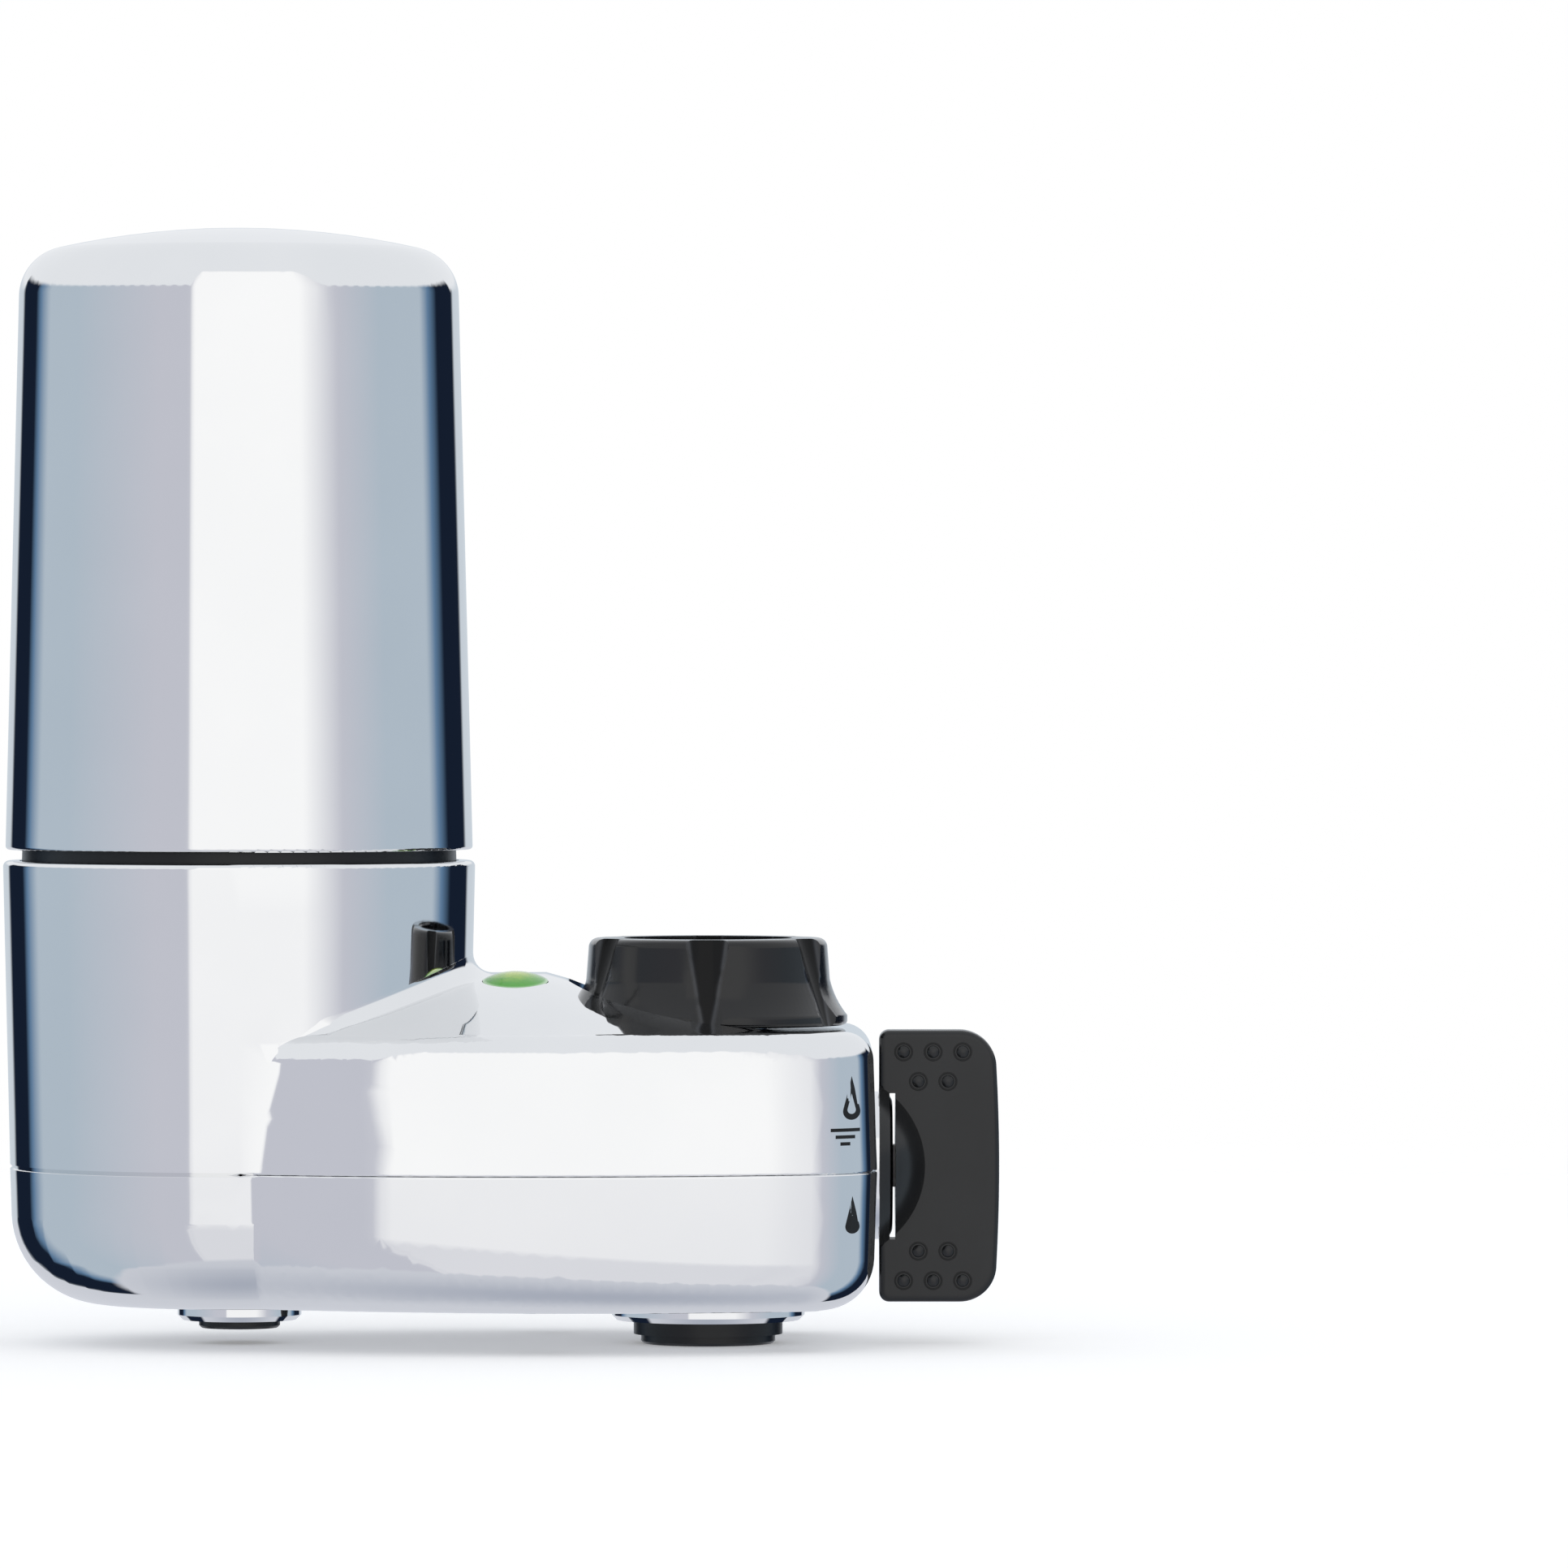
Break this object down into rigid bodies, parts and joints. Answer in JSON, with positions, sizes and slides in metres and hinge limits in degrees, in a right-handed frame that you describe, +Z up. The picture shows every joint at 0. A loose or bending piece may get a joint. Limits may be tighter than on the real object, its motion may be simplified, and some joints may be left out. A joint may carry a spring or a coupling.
{
  "type": "faucet mount water filter",
  "caption": "Faucet-mounted water filter: tall domed cartridge in a cup, sloping arm with a fluted nut for the spout, a side lever and outlets underneath.",
  "frame": {"origin": "centre of the mouth of the nut's thread, where the spout enters", "axes": "+Z up along the thread towards the spout, +X towards the lever, the filter cup stands at -X"},
  "size_m": [0.1351, 0.074, 0.1512],
  "materials": {
    "chrome_plate": "mirror-bright plating over a plastic moulding",
    "black_plastic": "moulded, fine satin texture",
    "dark_plastic": "moulded, plain",
    "pale_plastic": "natural plastic",
    "green_lens": "translucent, polished",
    "seal_rubber": "plain",
    "screw_steel": "plain",
    "plated_brass": "turned and nickel plated",
    "board_green": "solder mask",
    "carbon": "pressed carbon",
    "fleece": "non-woven"
  },
  "bodies": {
    "base": {"upper_shell": "chrome_plate", "lower_shell": "chrome_plate", "shell_screws": "screw_steel", "bottom_plug": "chrome_plate", "cartridge_socket": "dark_plastic", "inlet_tube": "dark_plastic", "inlet_tube_seals": "seal_rubber", "filtered_outlet": "dark_plastic", "outlet_seal": "seal_rubber", "turbine_carrier": "pale_plastic", "latch_spring": "screw_steel", "circuit_board": "board_green", "indicator_led": "pale_plastic", "indicator_lens": "green_lens", "coin_cell": "screw_steel", "cell_holder": "dark_plastic", "valve_block": "dark_plastic", "nipple_seal": "seal_rubber", "valve_bonnet": "dark_plastic", "spray_head": "dark_plastic", "spray_plate": "pale_plastic", "flow_straightener": "pale_plastic", "inlet_nipple": "plated_brass", "inlet_washer": "seal_rubber", "inlet_screen": "screw_steel"},
    "diverter": {"lever": "black_plastic", "valve_spool": "pale_plastic", "spool_seals": "seal_rubber"},
    "collar": {"mounting_nut": "black_plastic"},
    "cartridge": {"cartridge_cover": "chrome_plate", "cartridge_base": "dark_plastic", "spigot_seals": "seal_rubber", "lower_cap": "pale_plastic", "upper_cap": "pale_plastic", "carbon_block": "carbon", "fleece_wrap": "fleece", "core_tube": "pale_plastic"},
    "release": {"release_button": "chrome_plate", "latch_ring": "pale_plastic"},
    "turbine": {"flow_turbine": "pale_plastic"}
  },
  "joints": [
    {"name": "diverter_turn", "type": "hinge", "parent": "base", "child": "diverter", "pos_m": [0.0232, 0, -0.0309], "axis": [1, 0, 0], "range_deg": [-45, 45]},
    {"name": "collar_spin", "type": "hinge", "parent": "base", "child": "collar", "pos_m": [0, 0, 0], "axis": [0, 0, 1], "continuous": true},
    {"name": "cartridge_lift", "type": "slide", "parent": "base", "child": "cartridge", "axis": [0, 0, 1], "range_m": [0, 0.036]},
    {"name": "release_press", "type": "slide", "parent": "base", "child": "release", "axis": [0, -1, 0], "range_m": [0, 0.0012], "stiffness_N_per_m": 400, "springref_m": -0.001, "deforming": ["latch_spring"]},
    {"name": "turbine_spin", "type": "hinge", "parent": "base", "child": "turbine", "pos_m": [-0.0636, 0, -0.047], "axis": [0, 0, 1], "continuous": true}
  ]
}
